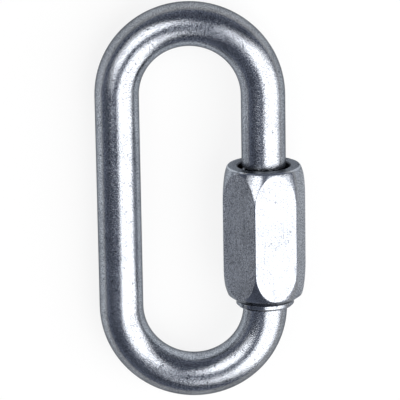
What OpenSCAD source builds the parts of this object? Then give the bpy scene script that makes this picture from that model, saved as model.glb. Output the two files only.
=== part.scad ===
// Oval quick link for joining chain: a round bar bent to a long loop, with a gap in one leg.
// A long hexagon sleeve nut runs on the bar's two threaded ends and closes that gap.
// The link lies as it comes to rest, on its plain leg and on one corner of the nut.
// X runs across the link towards the nut, Y along it, Z up, from under the middle of its box.

/* [Bar] */
// Diameter of the round bar
bar_d = 10; // [8:0.5:12]
// Clear length inside the loop
inside_l = 72; // [68:0.5:90]
// Clear width inside the loop, between the bars
inside_w = 22.8; // [20:0.2:28]

/* [Gate] */
// Pitch of the thread on both bar ends
thread_pitch = 1.5; // [1.25:0.25:1.75]
// Whole turns of the nut that open the gate
opening_turns = 9; // [7:1:10]
// Length of the lower bar end inside the closed nut
lower_grip = 3.2; // [2.4:0.2:4.4]
// Chamfer on the tips of both bar ends
tip_chamfer = 0.6; // [0.3:0.1:0.8]
// Length over which each thread runs out to the full bar
runout_l = 0.6; // [0.4:0.1:0.8]
// Full bar left between the lower bend and the lower thread
seat_l = 0.1; // [0.1:0.05:0.5]
// Gap between the lower thread's run-out and the foot of the closed nut
seat_gap = 0.1; // [0.1:0.05:0.5]
// Gap at radius between the threads of the bar and the nut
thread_clearance = 0.05; // [0.02:0.01:0.1]

/* [Sleeve nut] */
// Width across the nut's flats
nut_af = 17; // [15:0.5:22]
// Length of the nut over all
nut_l = 32.75; // [30:0.25:40]
// Depth that the turned blank takes off each corner of the hexagon
corner_trim = 0.05; // [0.05:0.05:0.3]
// Gap at radius between the full bar and the nut's plain upper bore
bar_clearance = 0.9; // [0.3:0.1:1.2]
// Chamfer inside the rim of the plain bore
rim_lip = 0.25; // [0.1:0.05:0.4]
// Gap at radius between the full bar and the mouth at the nut's foot
mouth_clearance = 0.3; // [0.2:0.05:0.5]
// Room between the bar's upper run-out and the bottom of the plain bore, with the gate open
shoulder_room = 0.4; // [0.3:0.1:1]
// Included angle of the drill that bores the plain part
drill_angle = 118; // [90:1:135]

/* [Nut ends] */
// Length of the rounded taper at the nut's upper end
top_sweep_l = 5.2; // [3:0.1:8]
// How far the end of the upper taper lies inside the flats
top_inset = 0.1; // [0.05:0.05:0.6]
// Chamfer round the nut's upper rim
top_chamfer = 0.3; // [0.2:0.1:0.8]
// Length of the rounded taper at the nut's foot
foot_sweep_l = 7; // [4:0.1:10]
// How far the end of the foot's taper lies inside the flats
foot_inset = 0.05; // [0.05:0.05:0.6]
// Length of the bevel between the foot's taper and the collar
foot_bevel_l = 1.4; // [1:0.1:3]
// Wall of the collar outside the full bar's diameter
collar_wall = 1.6; // [1:0.1:2]
// Length of the collar
collar_l = 1.3; // [1:0.05:3]
// Chamfer round the foot of the collar
collar_chamfer = 0.5; // [0.3:0.1:0.9]

/* [Rest] */
// Turn of the nut's upper flat from level, towards the outside of the loop
nut_turn = 11; // [0:0.2:30]

/* [Hidden] */
$fn = 96;

// Depth from the crest of a metric thread to its pitch line, for each unit of pitch
PITCH_LINE_DEPTH = 0.3248;
// Angle between two corners of the hexagon
CORNER_STEP = 60;
// Extra length of a cutting or enclosing solid past the face it goes through
OVERRUN = 1;

// Bar: two half-round bends joined by straight legs
bar_r = bar_d / 2;
bend_r = (inside_w + bar_d) / 2;
straight_l = inside_l - inside_w;
leg_end = straight_l / 2;

// Thread: both threads stand at their pitch cylinder, where bar and nut share the depth evenly
pitch_r = bar_r - PITCH_LINE_DEPTH * thread_pitch;
travel = opening_turns * thread_pitch;

// Places along the gate leg, from the lower end to the upper one
nut_foot_y = -leg_end + seat_l + seat_gap;
lower_tip_y = nut_foot_y + lower_grip;
upper_tip_y = nut_foot_y + travel;
nut_top_y = nut_foot_y + nut_l;

// Nut bore: a threaded part from the foot, then a plain part that passes over the full bar
thread_bore_r = pitch_r + thread_clearance;
plain_bore_r = bar_r + bar_clearance;
mouth_r = bar_r + mouth_clearance;
plain_bore_l = travel + shoulder_room;
drill_cone_l = (plain_bore_r - thread_bore_r) / tan(drill_angle / 2);

// Nut outside: a hexagon bar turned to rounded tapers at both ends, with a collar at its foot
hex_corner_r = nut_af / 2 / cos(CORNER_STEP / 2);
turned_r = hex_corner_r - corner_trim;
top_r = nut_af / 2 - top_inset;
collar_r = bar_r + collar_wall;
foot_r = nut_af / 2 - foot_inset;
foot_sweep_z = collar_l + foot_bevel_l;
top_sweep_z = nut_l - top_chamfer - top_sweep_l;

// Rest: the nut's lowest corner and the plain leg both touch the floor
land_angle = CORNER_STEP / 2 - acos(nut_af / 2 / turned_r);
nut_drop = nut_reach(90);
lean = asin((nut_drop - bar_r) / (2 * bend_r));
middle_x = (bar_r - nut_reach(0)) / 2;
middle_z = bar_r + bend_r * sin(lean);

// Angle from a direction round the nut's axis to the nearest corner of the hexagon
function corner_offset(direction) =
    let (past = abs(direction - nut_turn) % CORNER_STEP)
    min(past, CORNER_STEP - past);

// How far the nut reaches from its axis in a direction: 0 is outwards, 90 is down
function nut_reach(direction) =
    turned_r * cos(max(0, corner_offset(direction) - land_angle));

// Radius of an arc that leaves the turned blank square to its end and draws in by depth over length
function sweep_radius(depth, length) = (depth * depth + length * length) / (2 * depth);

// Sets the link down, from its own plane to its place on the floor
module set_down() {
    translate([middle_x, 0, middle_z]) rotate([0, -lean, 0]) children();
}

// Half-round bend of the bar, open towards -Y
module bend() {
    rotate_extrude(angle = 180) translate([bend_r, 0]) circle(bar_r);
}

// One end of the bar along +Z: full bar, run-out, thread at its pitch cylinder, chamfered tip
module bar_end(full_l, whole_l) {
    rotate_extrude()
        polygon([
            [0, 0],
            [bar_r, 0],
            [bar_r, full_l],
            [pitch_r, full_l + runout_l],
            [pitch_r, whole_l - tip_chamfer],
            [pitch_r - tip_chamfer, whole_l],
            [0, whole_l]
        ]);
}

module link_body() {
    color([0.72, 0.74, 0.78]) set_down() {
        translate([0, leg_end, 0]) bend();
        translate([0, -leg_end, 0]) rotate(180) bend();
        translate([-bend_r, -leg_end, 0]) rotate([-90, 0, 0]) cylinder(r = bar_r, h = straight_l);
        translate([bend_r, -leg_end, 0]) rotate([-90, 0, 0]) bar_end(seat_l, lower_tip_y + leg_end);
        translate([bend_r, leg_end, 0]) rotate([90, 0, 0])
            bar_end(leg_end - nut_top_y, leg_end - upper_tip_y);
    }
}

// Stretch of the nut's outline where a large arc draws the turned blank in to end_r, up or down from z
module sweep_outline(z, end_r, length, upwards) {
    radius = sweep_radius(turned_r - end_r, length);
    intersection() {
        translate([turned_r - radius, z]) circle(radius);
        translate([0, upwards ? z : z - length]) square([turned_r, length]);
    }
}

// Outline of the turned blank, from the collar's foot to the rim
module turned_outline() {
    foot_tangent_z = foot_sweep_z + foot_sweep_l;
    polygon([
        [0, 0],
        [collar_r - collar_chamfer, 0],
        [collar_r, collar_chamfer],
        [collar_r, collar_l],
        [foot_r, foot_sweep_z],
        [0, foot_sweep_z]
    ]);
    sweep_outline(foot_tangent_z, foot_r, foot_sweep_l, false);
    translate([0, foot_tangent_z]) square([turned_r, top_sweep_z - foot_tangent_z]);
    sweep_outline(top_sweep_z, top_r, top_sweep_l, true);
    translate([0, nut_l - top_chamfer])
        polygon([[0, 0], [top_r, 0], [top_r - top_chamfer, top_chamfer], [0, top_chamfer]]);
}

// Everything that is bored out of the nut, from its mouth at the foot to its rim
module nut_bore() {
    thread_end_z = nut_l - plain_bore_l - drill_cone_l;
    rotate_extrude()
        polygon([
            [0, -OVERRUN],
            [mouth_r, -OVERRUN],
            [mouth_r, 0],
            [thread_bore_r, mouth_r - thread_bore_r],
            [thread_bore_r, thread_end_z],
            [plain_bore_r, nut_l - plain_bore_l],
            [plain_bore_r, nut_l - rim_lip],
            [plain_bore_r + rim_lip, nut_l],
            [plain_bore_r + rim_lip, nut_l + OVERRUN],
            [0, nut_l + OVERRUN]
        ]);
}

module sleeve_nut() {
    axis_x = middle_x + bend_r * cos(lean);
    color([0.82, 0.84, 0.87]) translate([axis_x, nut_foot_y, nut_drop]) rotate([-90, 0, 0])
        difference() {
            intersection() {
                translate([0, 0, -OVERRUN]) rotate(nut_turn)
                    cylinder(r = hex_corner_r, h = nut_l + 2 * OVERRUN, $fn = 6);
                rotate_extrude() turned_outline();
            }
            nut_bore();
        }
}

link_body();
sleeve_nut();
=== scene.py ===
import math

import bmesh
import bpy
import mathutils
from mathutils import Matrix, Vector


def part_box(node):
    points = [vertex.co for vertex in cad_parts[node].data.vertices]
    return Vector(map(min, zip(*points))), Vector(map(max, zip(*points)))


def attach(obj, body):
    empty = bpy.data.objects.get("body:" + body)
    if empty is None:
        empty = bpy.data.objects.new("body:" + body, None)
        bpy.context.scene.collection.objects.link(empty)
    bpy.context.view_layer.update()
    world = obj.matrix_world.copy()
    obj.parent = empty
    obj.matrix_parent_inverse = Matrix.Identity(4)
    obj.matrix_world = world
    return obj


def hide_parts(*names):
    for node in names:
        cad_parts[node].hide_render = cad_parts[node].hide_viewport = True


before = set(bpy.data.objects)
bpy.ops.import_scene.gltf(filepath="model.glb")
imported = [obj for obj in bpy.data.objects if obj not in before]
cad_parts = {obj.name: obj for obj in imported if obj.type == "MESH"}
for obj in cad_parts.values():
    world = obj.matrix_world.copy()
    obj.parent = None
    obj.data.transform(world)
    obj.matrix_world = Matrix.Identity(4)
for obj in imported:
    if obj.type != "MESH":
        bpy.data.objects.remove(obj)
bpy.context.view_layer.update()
bpy.ops.object.select_all(action="DESELECT")

# Bent bar: one length of round steel bar, bent cold to a long loop with a gap in one leg.
# A metric thread is cut on each of its two ends at the gap, and the tips are chamfered.
# The whole bar is zinc-plated after bending, which leaves a fine grain and a few small pits.
MM = 0.001
TINY = 0.001 * MM
RING = 72
BEND_STEPS = 56
BAR_R = 5 * MM
BEND_R = 16.4 * MM
LEG_END = 24.6 * MM
UPPER_FULL_Y = 8.35 * MM
UPPER_TIP_Y = -10.9 * MM
LOWER_FULL_Y = -24.5 * MM
LOWER_TIP_Y = -21.2 * MM
PITCH = 1.5 * MM
TURN_STEPS = 36
CREST_R = 4.97 * MM
ROOT_R = 4.08 * MM
CREST_HALF = 4 / RING
ROOT_START = 28 / RING
MALE_SECTION = (CREST_R, ROOT_R, CREST_HALF, ROOT_START)
RUN_OUT = 0.6 * MM
WASH_SLOPE = (CREST_R - ROOT_R) / RUN_OUT
TIP_R = 3.9 * MM
SMOOTH_BELOW = math.radians(32)

bar_low, bar_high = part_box("link_body")
nut_low, nut_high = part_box("sleeve_nut")
gate_x = (nut_low.x + nut_high.x) / 2
gate_z = (nut_low.z + nut_high.z) / 2
plain_x = bar_low.x + BAR_R
plain_z = BAR_R
lean = math.atan2(gate_z - plain_z, gate_x - plain_x)


def select_where(passes):
    """Selects the edited mesh's vertices whose place passes a test, and the edges between them."""
    edited = bmesh.from_edit_mesh(bpy.context.edit_object.data)
    for vertex in edited.verts:
        vertex.select_set(passes(vertex.co))
    edited.select_flush_mode()
    bmesh.update_edit_mesh(bpy.context.edit_object.data)


def extrude(*move):
    """Extrudes what is selected in the edited mesh, by a move along X, Y and Z."""
    bpy.ops.mesh.extrude_region_move(TRANSFORM_OT_translate={"value": move})


def thread_radius(share, crest_r, root_r, crest_half, root_start):
    """Radius of a thread's section at a share of the way round it, with the crest half-way."""
    slope = (abs(share - 0.5) - crest_half) / (root_start - crest_half)
    return crest_r + (root_r - crest_r) * min(1, max(0, slope))


def screw_tube(name, foot_y, length, section, limited):
    """A length of thread along Z: its section, screwed upwards, and limited at both ends."""
    bpy.ops.mesh.primitive_circle_add(vertices=RING, radius=section[0])
    tube = bpy.context.object
    tube.name = name
    for vertex in tube.data.vertices:
        share = (math.atan2(vertex.co.y, vertex.co.x) / math.tau) % 1
        vertex.co *= thread_radius(share, *section) / section[0]
    screw = tube.modifiers.new("helix", "SCREW")
    screw.angle = math.tau * length / PITCH
    screw.screw_offset = length
    screw.steps = screw.render_steps = round(TURN_STEPS * length / PITCH)
    bpy.ops.object.modifier_apply(modifier=screw.name)
    for vertex in tube.data.vertices:
        radius = math.hypot(vertex.co.x, vertex.co.y)
        scale = limited(radius, vertex.co.z) / radius
        vertex.co.x *= scale
        vertex.co.y *= scale
    tube.rotation_euler = (0, 0, math.tau * foot_y / PITCH)
    bpy.ops.object.transform_apply()
    return tube


def set_on_gate_leg(part, foot_y):
    """Lays a part that was made along Z on the axis of the leg with the gap."""
    part.location = (gate_x, foot_y, gate_z)
    part.rotation_euler = (-math.pi / 2, 0, 0)
    bpy.ops.object.transform_apply()


def join(kept, *others):
    """Joins objects into the first one."""
    bpy.ops.object.select_all(action="DESELECT")
    for part in (kept, *others):
        part.select_set(True)
    bpy.context.view_layer.objects.active = kept
    bpy.ops.object.join()


def close_up():
    """Merges doubled vertices of the edited mesh and turns its faces outwards."""
    bpy.ops.mesh.select_all(action="SELECT")
    bpy.ops.mesh.remove_doubles(threshold=TINY)
    bpy.ops.mesh.normals_make_consistent(inside=False)


bpy.ops.mesh.primitive_circle_add(
    vertices=RING, radius=BAR_R, location=(-BEND_R, 0, 0), rotation=(math.pi / 2, 0, 0)
)
bar = bpy.context.object
bar.name = "bent_bar"
bpy.ops.object.transform_apply()
bpy.ops.object.mode_set(mode="EDIT")
for end_y, full_y, turn in ((LEG_END, UPPER_FULL_Y, 1), (-LEG_END, LOWER_FULL_Y, -1)):
    select_where(lambda place: place.x < 0 and abs(place.y) < TINY)
    extrude(0, end_y, 0)
    bpy.ops.mesh.spin(steps=BEND_STEPS, angle=math.pi, center=(0, end_y, 0), axis=(0, 0, turn))
    extrude(0, full_y - end_y, 0)
bpy.ops.object.mode_set(mode="OBJECT")
bar.rotation_euler = (0, -lean, 0)
bar.location = ((gate_x + plain_x) / 2, 0, (gate_z + plain_z) / 2)
bpy.ops.object.transform_apply()

upper_l = UPPER_FULL_Y - UPPER_TIP_Y
upper_thread = screw_tube(
    "upper_thread", UPPER_TIP_Y, upper_l, MALE_SECTION,
    lambda radius, up: max(min(radius, TIP_R + up), CREST_R - (upper_l - up) * WASH_SLOPE),
)
set_on_gate_leg(upper_thread, UPPER_TIP_Y)
lower_l = LOWER_TIP_Y - LOWER_FULL_Y
lower_thread = screw_tube(
    "lower_thread", LOWER_FULL_Y, lower_l, MALE_SECTION,
    lambda radius, up: min(max(radius, CREST_R - up * WASH_SLOPE), TIP_R + lower_l - up),
)
set_on_gate_leg(lower_thread, LOWER_FULL_Y)
join(bar, upper_thread, lower_thread)
bpy.ops.object.mode_set(mode="EDIT")
for full_y in (UPPER_FULL_Y, LOWER_FULL_Y):
    select_where(lambda place: place.x > 0 and abs(place.y - full_y) < TINY)
    bpy.ops.mesh.fill()
for tip_y in (UPPER_TIP_Y, LOWER_TIP_Y):
    select_where(lambda place: place.x > 0 and abs(place.y - tip_y) < TINY)
    bpy.ops.mesh.edge_face_add()
close_up()
bpy.ops.object.mode_set(mode="OBJECT")
bpy.ops.object.shade_smooth_by_angle(angle=SMOOTH_BELOW)
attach(bar, "link")
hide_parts("link_body")


def add_node(tree, kind, inputs=None, **options):
    """Adds a node, sets its options, and sets or links its inputs."""
    made = tree.nodes.new(kind)
    for name, value in options.items():
        setattr(made, name, value)
    for name, value in (inputs or {}).items():
        if isinstance(value, bpy.types.NodeSocket):
            tree.links.new(value, made.inputs[name])
        else:
            made.inputs[name].default_value = value
    return made


def calculate(tree, operation, first, second=0.0):
    """A maths node of two values."""
    return add_node(tree, "ShaderNodeMath", {0: first, 1: second}, operation=operation).outputs[0]


def ranged(tree, value, low, high, new_low, new_high):
    """A value carried from one range to another, and held inside it."""
    return add_node(tree, "ShaderNodeMapRange", {
        "Value": value, "From Min": low, "From Max": high, "To Min": new_low, "To Max": new_high,
    }).outputs["Result"]


# Zinc skin, on every plated surface of the link: fine crystals, faint clouds and small pits.
CRYSTAL_RANGE = (0.34, 0.66)
CLOUD_RANGE = (0.3, 0.7)
PIT_RANGE = (0.12, 0.32)
zinc_skin = bpy.data.node_groups.new("zinc_skin", "ShaderNodeTree")
zinc_skin.interface.new_socket("Place", in_out="INPUT", socket_type="NodeSocketVector")
for name in ("Crystals per metre", "Clouds per metre", "Pits per metre", "Pit share"):
    zinc_skin.interface.new_socket(name, in_out="INPUT", socket_type="NodeSocketFloat")
for name in ("Crystals", "Clouds", "Pits"):
    zinc_skin.interface.new_socket(name, in_out="OUTPUT", socket_type="NodeSocketFloat")
given = zinc_skin.nodes.new("NodeGroupInput").outputs
crystals = add_node(zinc_skin, "ShaderNodeTexNoise", {
    "Vector": given["Place"], "Scale": given["Crystals per metre"],
    "Detail": 1.0, "Roughness": 0.5,
}).outputs["Fac"]
clouds = add_node(zinc_skin, "ShaderNodeTexNoise", {
    "Vector": given["Place"], "Scale": given["Clouds per metre"],
    "Detail": 4.0, "Roughness": 0.6,
}).outputs["Fac"]
cells = add_node(zinc_skin, "ShaderNodeTexVoronoi", {
    "Vector": given["Place"], "Scale": given["Pits per metre"],
}).outputs
chance = add_node(zinc_skin, "ShaderNodeSeparateColor", {"Color": cells["Color"]}).outputs["Red"]
add_node(zinc_skin, "NodeGroupOutput", {
    "Crystals": ranged(zinc_skin, crystals, *CRYSTAL_RANGE, 0.0, 1.0),
    "Clouds": ranged(zinc_skin, clouds, *CLOUD_RANGE, 0.0, 1.0),
    # Pits dent the surface, and the same mask also darkens the colour: painted shade in the pits.
    "Pits": calculate(
        zinc_skin, "MULTIPLY", ranged(zinc_skin, cells["Distance"], *PIT_RANGE, 1.0, 0.0),
        calculate(zinc_skin, "LESS_THAN", chance, given["Pit share"]),
    ),
})

CLOUDS_PER_METRE = 150
CRYSTAL_SHADE = 0.75
CLOUD_SHADE = 0.25
PIT_SHADE = 0.6
FROST_RANGE = (0.55, 1.0)
MARK_RANGE = (0.64, 0.72)
MARK_SHADE = 0.6


def plated(
    name, bright, dull, smooth, rough, edge, crystals_at, crystal_depth, pits, pit_depth,
    frost=0.0, marks=None, marks_depth=0.0,
):
    """A zinc-plated metal: the shared skin, with tool marks where their number per metre is given.

    The crystals roughen it by up to its frost, and pits are their number per metre and their share.
    """
    material = bpy.data.materials.new(name)
    material.use_nodes = True
    tree = material.node_tree
    tree.nodes.clear()
    place = add_node(tree, "ShaderNodeTexCoord").outputs["Object"]
    pits_at, pit_share = pits
    skin = add_node(tree, "ShaderNodeGroup", {
        "Place": place, "Crystals per metre": crystals_at, "Clouds per metre": CLOUDS_PER_METRE,
        "Pits per metre": pits_at, "Pit share": pit_share,
    }, node_tree=zinc_skin).outputs
    crystals, clouds, pitted = skin["Crystals"], skin["Clouds"], skin["Pits"]
    shade = calculate(
        tree, "ADD", calculate(tree, "MULTIPLY", crystals, CRYSTAL_SHADE),
        calculate(tree, "MULTIPLY", clouds, CLOUD_SHADE),
    )
    # The pits are painted darker here: painted shade in them, on top of their dents.
    shade = calculate(tree, "SUBTRACT", shade, calculate(tree, "MULTIPLY", pitted, PIT_SHADE))
    height = calculate(
        tree, "SUBTRACT", calculate(tree, "MULTIPLY", crystals, crystal_depth),
        calculate(tree, "MULTIPLY", pitted, pit_depth),
    )
    if marks:
        laid = add_node(tree, "ShaderNodeMapping", {"Vector": place, "Scale": marks})
        lines = add_node(tree, "ShaderNodeTexNoise", {
            "Vector": laid.outputs["Vector"], "Scale": 1.0, "Detail": 3.0,
        }).outputs["Fac"]
        height = calculate(tree, "ADD", height, calculate(tree, "MULTIPLY", lines, marks_depth))
        marked = ranged(tree, lines, *MARK_RANGE, 0.0, MARK_SHADE)
        shade = calculate(tree, "SUBTRACT", shade, marked)
    colour = add_node(tree, "ShaderNodeMix", {
        "Factor": shade, "A": (*dull, 1), "B": (*bright, 1),
    }, data_type="RGBA")
    bump = add_node(tree, "ShaderNodeBump", {"Height": height, "Distance": 1.0})
    shader = add_node(tree, "ShaderNodeBsdfPrincipled", {
        "Base Color": colour.outputs["Result"],
        "Metallic": 1.0,
        "Roughness": calculate(
            tree, "ADD", ranged(tree, clouds, 0.0, 1.0, smooth, rough),
            ranged(tree, crystals, *FROST_RANGE, 0.0, frost),
        ),
        "Specular Tint": (edge, edge, edge, 1),
        "Normal": bump.outputs["Normal"],
    })
    add_node(tree, "ShaderNodeOutputMaterial", {"Surface": shader.outputs["BSDF"]})
    return material


bar.data.materials.append(plated(
    "zinc_bar", bright=(0.66, 0.68, 0.71), dull=(0.15, 0.159, 0.178),
    smooth=0.1, rough=0.14, edge=0.3, crystals_at=4600, crystal_depth=0.01 * MM,
    pits=(1100, 0.12), pit_depth=0.008 * MM, frost=0.13,
))

# Sleeve nut: a long nut of hexagon steel bar, both ends turned to rounded tapers, with a collar
# at its foot. It is threaded through its lower half and bored plain above, so that it passes over
# the full bar. It is zinc-plated, and runs on the two threads of the bar.
TURNED_RING = 144
NUT_L = 32.75 * MM
NUT_AF = 17 * MM
NUT_TURN = math.radians(11)
SIDES = 6
FIRST_SIDE_AT = 30
SIDE_STEP = 60
TURNED_R = 9.765 * MM
TOP_R = 8.4 * MM
TOP_CHAMFER = 0.3 * MM
TOP_SWEEP_L = 7.8 * MM
FOOT_R = 8.45 * MM
FOOT_BEVEL_TOP = 2.7 * MM
FOOT_SWEEP_L = 7 * MM
SWEEP_STEPS = 14
COLLAR_R = 6.6 * MM
COLLAR_L = 1.3 * MM
COLLAR_CHAMFER = 0.5 * MM
MOUTH_R = 5.3 * MM
PLAIN_BORE_R = 5.9 * MM
PLAIN_BORE_FOOT = 18.85 * MM
RIM_LIP = 0.25 * MM
GROOVE_R = 5.03 * MM
RIDGE_R = 4.2 * MM
GROOVE_HALF = 6 / RING
RIDGE_START = 29 / RING
FEMALE_SECTION = (GROOVE_R, RIDGE_R, GROOVE_HALF, RIDGE_START)
DRILL_SLOPE = math.tan(math.radians(59))
EASE = 0.08 * MM
FLAT_EASE = 0.05 * MM
FLAT_AREA = 50 * MM * MM
SQUARE_ON = 0.99
FLATS, BORE, FACED, RUBBED_AND_SHEEN = range(1, 5)


def lathe(points):
    """Extrudes the selected ring through a list of (radius, height) points along Z."""
    radius, height = points[0]
    for next_radius, next_height in points[1:]:
        extrude(0, 0, next_height - height)
        scale = next_radius / radius
        bpy.ops.transform.resize(value=(scale, scale, 1), center_override=(0, 0, next_height))
        radius, height = next_radius, next_height


def eased(points, reach):
    """The same points, with each corner between them drawn as a short curve."""
    made = [points[0]]
    for before, corner, after in zip(points, points[1:], points[2:]):
        sides = []
        for end in (before, after):
            length = math.dist(end, corner)
            step = min(reach, length / 3) / length
            sides.append([c + (e - c) * step for c, e in zip(corner, end)])
        middle = [(a + 2 * c + b) / 4 for a, c, b in zip(sides[0], corner, sides[1])]
        made += [sides[0], middle, sides[1]]
    return made + [points[-1]]


def sweep(narrow_r, narrow_z, wide_z):
    """Points of a large arc from the end of a taper to where it meets the turned blank."""
    depth, length = TURNED_R - narrow_r, wide_z - narrow_z
    arc_r = (depth * depth + length * length) / (2 * depth)
    made = []
    for i in range(SWEEP_STEPS + 1):
        z = narrow_z + length * i / SWEEP_STEPS
        made.append((TURNED_R - arc_r + math.sqrt(arc_r ** 2 - (z - wide_z) ** 2), z))
    return made


foot_arc = sweep(FOOT_R, FOOT_BEVEL_TOP, FOOT_BEVEL_TOP + FOOT_SWEEP_L)
top_arc = sweep(TOP_R, NUT_L - TOP_CHAMFER, NUT_L - TOP_CHAMFER - TOP_SWEEP_L)[::-1]
collar = [
    (COLLAR_R - COLLAR_CHAMFER, 0),
    (COLLAR_R, COLLAR_CHAMFER),
    (COLLAR_R, COLLAR_L),
    *foot_arc[:2],
]
rim = [*top_arc[-2:], (TOP_R - TOP_CHAMFER, NUT_L)]
outline = eased(collar, EASE) + foot_arc[2:] + top_arc[:-2] + eased(rim, EASE)

bpy.ops.object.select_all(action="DESELECT")
bpy.ops.mesh.primitive_circle_add(vertices=TURNED_RING, radius=outline[0][0])
sleeve = bpy.context.object
sleeve.name = "hex_sleeve"
bpy.ops.object.mode_set(mode="EDIT")
bpy.ops.mesh.select_all(action="SELECT")
lathe(outline)
for side in range(SIDES):
    facing = NUT_TURN + math.radians(FIRST_SIDE_AT + SIDE_STEP * side)
    normal = (math.cos(facing), math.sin(facing), 0)
    bpy.ops.mesh.select_all(action="SELECT")
    bpy.ops.mesh.bisect(
        plane_co=[NUT_AF / 2 * part for part in normal], plane_no=normal,
        use_fill=True, clear_outer=True, threshold=TINY / 10,
    )
bpy.ops.mesh.select_all(action="DESELECT")
edited = bmesh.from_edit_mesh(sleeve.data)
for face in edited.faces:
    if face.calc_area() > FLAT_AREA:
        for edge in face.edges:
            edge.select_set(True)
bmesh.update_edit_mesh(sleeve.data)
# The edges round the flats are eased and given the rubbed finish: worn zinc, and a painted
# highlight along them.
bpy.ops.mesh.bevel(
    offset=FLAT_EASE, segments=2, affect="EDGES", clamp_overlap=True, material=RUBBED_AND_SHEEN
)
bpy.ops.object.mode_set(mode="OBJECT")

thread_foot = MOUTH_R - GROOVE_R
thread_l = PLAIN_BORE_FOOT - (PLAIN_BORE_R - GROOVE_R) / DRILL_SLOPE - thread_foot
bore = screw_tube(
    "bore", nut_low.y + thread_foot, thread_l, FEMALE_SECTION,
    lambda radius, up: max(radius, GROOVE_R - up, GROOVE_R - (thread_l - up) * DRILL_SLOPE),
)
bore.location.z = thread_foot
bpy.ops.object.transform_apply()
bpy.ops.object.mode_set(mode="EDIT")
select_where(lambda place: abs(place.z - thread_foot) < TINY)
lathe([(GROOVE_R, thread_foot), (MOUTH_R, 0)])
select_where(lambda place: abs(place.z - thread_foot - thread_l) < TINY)
lathe([
    (GROOVE_R, thread_foot + thread_l),
    (PLAIN_BORE_R, PLAIN_BORE_FOOT),
    (PLAIN_BORE_R, NUT_L - RIM_LIP),
    (PLAIN_BORE_R + RIM_LIP, NUT_L),
])
bpy.ops.object.mode_set(mode="OBJECT")
join(sleeve, bore)
bpy.ops.object.mode_set(mode="EDIT")
for end_z in (0, NUT_L):
    select_where(lambda place: abs(place.z - end_z) < TINY)
    bpy.ops.mesh.fill()
close_up()
bpy.ops.object.mode_set(mode="OBJECT")
set_on_gate_leg(sleeve, nut_low.y)
bpy.ops.object.shade_smooth_by_angle(angle=SMOOTH_BELOW)
weighted = sleeve.modifiers.new("flat_first", "WEIGHTED_NORMAL")
weighted.keep_sharp = True
bpy.ops.object.modifier_apply(modifier=weighted.name)

for finish in (
    plated(
        "zinc_turned", bright=(0.57, 0.59, 0.625), dull=(0.2, 0.212, 0.235),
        smooth=0.12, rough=0.17, edge=0.4, crystals_at=3600, crystal_depth=0.005 * MM,
        pits=(700, 0.3), pit_depth=0.006 * MM,
        marks=(100, 3500, 100), marks_depth=0.008 * MM,
    ),
    plated(
        "zinc_flats", bright=(0.63, 0.65, 0.69), dull=(0.19, 0.2, 0.22),
        smooth=0.18, rough=0.22, edge=0.5, crystals_at=3600, crystal_depth=0.02 * MM,
        pits=(900, 0.06), pit_depth=0.012 * MM, frost=0.4,
        marks=(2500, 90, 2500), marks_depth=0.008 * MM,
    ),
    # Inside the nut: the zinc is painted dark, as painted shade in the bore and its threads.
    plated(
        "zinc_bore_painted_shade", bright=(0.16, 0.165, 0.18), dull=(0.06, 0.063, 0.07),
        smooth=0.3, rough=0.4, edge=0.4, crystals_at=3600, crystal_depth=0.01 * MM,
        pits=(700, 0.3), pit_depth=0.006 * MM,
    ),
    plated(
        "zinc_faced", bright=(0.6, 0.63, 0.68), dull=(0.06, 0.066, 0.075),
        smooth=0.26, rough=0.34, edge=0.3, crystals_at=3600, crystal_depth=0.01 * MM,
        pits=(700, 0.3), pit_depth=0.006 * MM,
    ),
    # Rubbed edges: worn zinc, made brighter than the faces as a painted highlight.
    plated(
        "zinc_rubbed_and_sheen", bright=(0.68, 0.7, 0.73), dull=(0.36, 0.38, 0.41),
        smooth=0.12, rough=0.2, edge=0.6, crystals_at=3600, crystal_depth=0.004 * MM,
        pits=(1500, 0.4), pit_depth=0.01 * MM,
    ),
):
    sleeve.data.materials.append(finish)
for face in sleeve.data.polygons:
    if face.material_index == RUBBED_AND_SHEEN:
        continue
    from_axis = math.hypot(face.center.x - gate_x, face.center.z - gate_z)
    if face.area > FLAT_AREA / 2:
        face.material_index = FLATS
    # Faces inside the bore take the dark finish: painted shade.
    elif from_axis < PLAIN_BORE_R + RIM_LIP:
        face.material_index = BORE
    elif abs(face.normal.y) > SQUARE_ON:
        face.material_index = FACED
    # The rim's chamfer takes the rubbed finish too, as a painted highlight line along the rim.
    elif face.center.y > nut_high.y - TOP_CHAMFER:
        face.material_index = RUBBED_AND_SHEEN
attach(sleeve, "nut")
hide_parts("sleeve_nut")

# Floor: a plain table top, painted matt white, that the link lies on.
# The camera sees it as white, with the link's soft shadow on it.
# The metal mirrors a cool white glow near the link, a painted pool of light, which fades out
# further away.
# Off the camera the floor is painted a darker grey, as painted shade, so the metal mirrors grey
# further out.
FLOOR_R = 2.5
FLOOR_SIDES = 96
FLOOR_WHITE = 0.84
FLOOR_PALE = (0.92, 0.92, 0.92, 1)
OFF_CAMERA_SHADE_GREY = (0.46, 0.46, 0.46, 1)
PURE_WHITE = (1, 1, 1, 1)
MIRRORED_GLOW = 0.88
MIRRORED_GLOW_TINT = (0.88, 0.93, 1, 1)
NEAR_R = 0.03
FAR_R = 0.12
FADE_SCALE = (0.8, 1.25, 1)
bpy.ops.object.select_all(action="DESELECT")
bpy.ops.mesh.primitive_circle_add(vertices=FLOOR_SIDES, radius=FLOOR_R, fill_type="NGON")
floor = bpy.context.object
floor.name = "floor"
paper = bpy.data.materials.new("white_table")
paper.use_nodes = True
tree = paper.node_tree
tree.nodes.clear()
rays = add_node(tree, "ShaderNodeLightPath").outputs
mirrored = calculate(tree, "MAXIMUM", rays["Is Glossy Ray"], rays["Is Transmission Ray"])
stretched = add_node(tree, "ShaderNodeVectorMath", {
    0: add_node(tree, "ShaderNodeTexCoord").outputs["Object"], 1: FADE_SCALE,
}, operation="MULTIPLY").outputs["Vector"]
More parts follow.
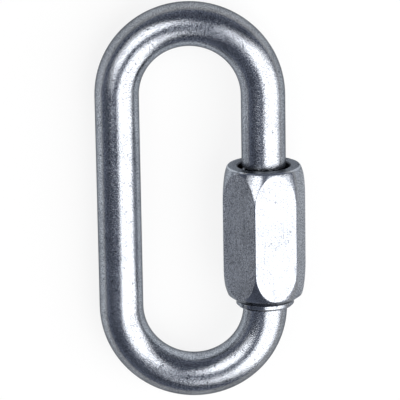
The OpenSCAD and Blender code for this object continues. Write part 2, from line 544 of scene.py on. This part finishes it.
from_link = add_node(
    tree, "ShaderNodeVectorMath", {0: stretched}, operation="LENGTH"
).outputs["Value"]
# Painted light for the metal: a glow strongest near the link, gone further out.
painted_glow_share = ranged(tree, from_link, NEAR_R, FAR_R, MIRRORED_GLOW, 0.0)
seen = calculate(
    tree, "MAXIMUM", calculate(tree, "MULTIPLY", rays["Is Camera Ray"], FLOOR_WHITE),
    calculate(tree, "MULTIPLY", mirrored, painted_glow_share),
)
# Off the camera the floor's paint is a darker grey: painted shade.
paint = add_node(tree, "ShaderNodeMix", {
    "Factor": rays["Is Camera Ray"], "A": OFF_CAMERA_SHADE_GREY, "B": FLOOR_PALE,
}, data_type="RGBA")
lit = add_node(tree, "ShaderNodeBsdfDiffuse", {"Color": paint.outputs["Result"]})
tint = add_node(tree, "ShaderNodeMix", {
    "Factor": rays["Is Camera Ray"], "A": MIRRORED_GLOW_TINT, "B": PURE_WHITE,
}, data_type="RGBA")
white = add_node(tree, "ShaderNodeEmission", {"Color": tint.outputs["Result"], "Strength": 1.0})
mixed = add_node(tree, "ShaderNodeMixShader", {
    "Fac": seen, 1: lit.outputs["BSDF"], 2: white.outputs["Emission"],
})
add_node(tree, "ShaderNodeOutputMaterial", {"Surface": mixed.outputs["Shader"]})
floor.data.materials.append(paper)

# Studio: a large soft light over the right side, and a smaller one over the upper left.
# Grey walls stand round them, which only the metal shows; they glow with painted light, brighter
# near the ceiling and the floor.
# The air outside them is white to the camera, and adds a faint even light.
WALL_R = 2.2
WALL_SEGMENTS = 48
WALL_RINGS = 24
WALL_FOOT = 0.01
WALL_TINT = (0.69, 0.77, 1, 1)
WALL_GLOW = 0.16
CEILING_GLOW = 0.3
CEILING_FROM = 0.65 * WALL_R
SKIRTING_GLOW = 0.28
SKIRTING_RANGE = (0.1 * WALL_R, 0.5 * WALL_R)
AIR_LIGHT = 0.1
LIGHT_PER_SQUARE_METRE = 8.7


def soft_light(name, place, sides, roll, fades):
    """A flat soft light that faces the link.

    Its first side runs up the slope, and fades are the shares of each side over which it dims.
    """
    bpy.ops.object.light_add(type="AREA", location=place)
    light = bpy.context.object
    light.name = name
    light.data.shape = "RECTANGLE"
    light.data.size, light.data.size_y = sides
    light.data.energy = LIGHT_PER_SQUARE_METRE * sides[0] * sides[1]
    facing = mathutils.Vector(place).to_track_quat("Z", "X")
    light.rotation_euler = (facing @ mathutils.Quaternion((0, 0, 1), roll)).to_euler()
    light.visible_camera = False
    light.data.use_nodes = True
    tree = light.data.node_tree
    tree.nodes.clear()
    on_panel = add_node(tree, "ShaderNodeSeparateXYZ", {
        "Vector": add_node(tree, "ShaderNodeNewGeometry").outputs["Parametric"],
    }).outputs
    level = 1.0
    for side, (first, last) in zip("XY", fades):
        for edge, inner in ((0.0, first), (1.0, 1 - last)):
            dimmed = ranged(tree, on_panel[side], edge, inner, 0.0, 1.0)
            level = calculate(tree, "MULTIPLY", dimmed, level)
    glow = add_node(tree, "ShaderNodeEmission", {"Strength": level})
    add_node(tree, "ShaderNodeOutputLight", {"Surface": glow.outputs["Emission"]})


soft_light(
    "right_light", place=(0.585, -0.23, 0.655), sides=(1.88, 1.92), roll=math.radians(8.2),
    fades=((0.34, 0.2), (0.28, 0.22)),
)
soft_light(
    "left_light", place=(-0.619, 0.345, 0.86), sides=(1.05, 0.86), roll=math.radians(6.7),
    fades=((0.59, 0.2), (0.07, 0.32)),
)

bpy.ops.mesh.primitive_uv_sphere_add(
    segments=WALL_SEGMENTS, ring_count=WALL_RINGS, radius=WALL_R
)
walls = bpy.context.object
walls.name = "grey_walls"
bpy.ops.object.mode_set(mode="EDIT")
bpy.ops.mesh.select_all(action="SELECT")
bpy.ops.mesh.bisect(plane_co=(0, 0, WALL_FOOT), plane_no=(0, 0, 1), clear_inner=True)
bpy.ops.object.mode_set(mode="OBJECT")
wall_glow_material = bpy.data.materials.new("grey_wall_glow")
wall_glow_material.use_nodes = True
tree = wall_glow_material.node_tree
tree.nodes.clear()
up = add_node(tree, "ShaderNodeSeparateXYZ", {
    "Vector": add_node(tree, "ShaderNodeTexCoord").outputs["Object"],
}).outputs["Z"]
# Painted light: the walls glow, brighter towards the ceiling and near the floor.
glow = add_node(tree, "ShaderNodeEmission", {
    "Color": WALL_TINT,
    "Strength": calculate(
        tree, "MAXIMUM", ranged(tree, up, CEILING_FROM, WALL_R, WALL_GLOW, CEILING_GLOW),
        ranged(tree, up, *SKIRTING_RANGE, SKIRTING_GLOW, WALL_GLOW),
    ),
})
add_node(tree, "ShaderNodeOutputMaterial", {"Surface": glow.outputs["Emission"]})
walls.data.materials.append(wall_glow_material)
walls.visible_camera = False
walls.visible_diffuse = False
walls.visible_shadow = False

world = bpy.data.worlds.new("studio")
bpy.context.scene.world = world
world.use_nodes = True
tree = world.node_tree
tree.nodes.clear()
rays = add_node(tree, "ShaderNodeLightPath").outputs
seen = calculate(tree, "MAXIMUM", rays["Is Camera Ray"], rays["Is Glossy Ray"])
seen = calculate(tree, "MAXIMUM", seen, rays["Is Transmission Ray"])
air = add_node(tree, "ShaderNodeBackground", {
    "Color": PURE_WHITE, "Strength": ranged(tree, seen, 0.0, 1.0, AIR_LIGHT, 1.0),
})
add_node(tree, "ShaderNodeOutputWorld", {"Surface": air.outputs["Background"]})

# Camera: a long lens high above the link, a little to its left and towards its upper end.
# It stands at the angle of the photograph, and everything in view is sharp.
CAMERA_PLACE = (-65.76 * MM, 184.932 * MM, 679.307 * MM)
CAMERA_TURN = (math.radians(-15.2107), math.radians(-5.801), math.radians(-0.9026))
CAMERA_LENS = 278.64
NEAREST_SEEN = 0.01
bpy.ops.object.camera_add(location=CAMERA_PLACE, rotation=CAMERA_TURN)
camera = bpy.context.object
camera.data.lens = CAMERA_LENS
camera.data.clip_start = NEAREST_SEEN
bpy.context.scene.camera = camera
bpy.context.scene.view_settings.view_transform = "Standard"
